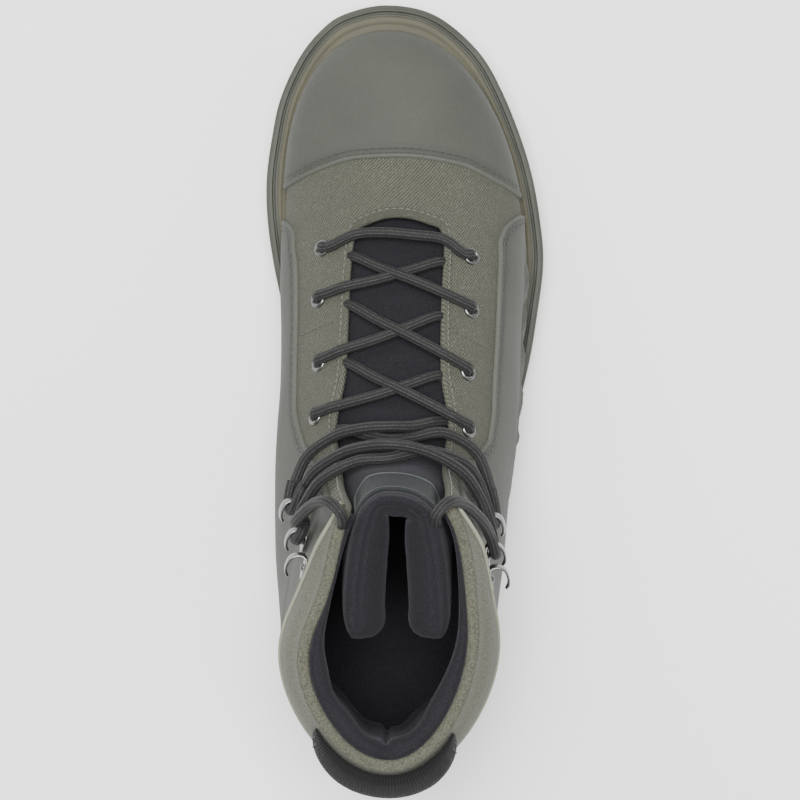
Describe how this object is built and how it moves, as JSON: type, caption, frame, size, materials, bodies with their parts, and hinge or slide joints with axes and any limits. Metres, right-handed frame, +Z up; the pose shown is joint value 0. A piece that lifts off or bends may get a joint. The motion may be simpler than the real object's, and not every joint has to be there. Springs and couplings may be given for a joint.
{
  "type": "wading boot",
  "caption": "Right-foot wading boot with felt outsole, rubber midsole, hollow ankle-high laced upper, padded tongue and collar, and a webbing pull loop at the back.",
  "frame": {"origin": "bottom centre of the boot's bounding box, on the floor under the sole", "axes": "+X toward the toe, +Y toward the inner side of the foot (a right boot), +Z up"},
  "size_m": [0.3161, 0.1158, 0.1988],
  "materials": {
    "lining": "black padded mesh lining",
    "rough": "rough olive-grey textile",
    "nickel": "bright nickel plate",
    "felt": "dense grey-tan felt",
    "lace": "black round braided lace",
    "rubber": "matte dark grey-green rubber",
    "smooth": "smooth matte grey-green coated leather",
    "webbing": "black ribbed webbing",
    "patch": "black woven patch, bare",
    "textile": "olive-grey twill, fine diagonal weave",
    "welt": "matte olive rubber"
  },
  "bodies": {
    "root": {"collar_lining": "lining", "collar_panel": "rough", "eyelet_inner_1": "nickel", "eyelet_inner_2": "nickel", "eyelet_inner_3": "nickel", "eyelet_inner_4": "nickel", "eyelet_outer_1": "nickel", "eyelet_outer_2": "nickel", "eyelet_outer_3": "nickel", "eyelet_outer_4": "nickel", "felt_forefoot": "felt", "felt_heel": "felt", "hook_inner_1": "nickel", "hook_inner_2": "nickel", "hook_inner_3": "nickel", "hook_outer_1": "nickel", "hook_outer_2": "nickel", "hook_outer_3": "nickel", "insole": "lining", "lace_ankle_inner": "lace", "lace_ankle_outer": "lace", "lace_bar": "lace", "lace_cross_1": "lace", "lace_cross_2": "lace", "lace_cross_3": "lace", "midsole": "rubber", "panel_inner": "smooth", "panel_outer": "smooth", "pull_loop": "webbing", "toe_cap": "smooth", "tongue": "lining", "tongue_patch": "patch", "upper": "textile", "welt": "welt"}
  },
  "joints": []
}
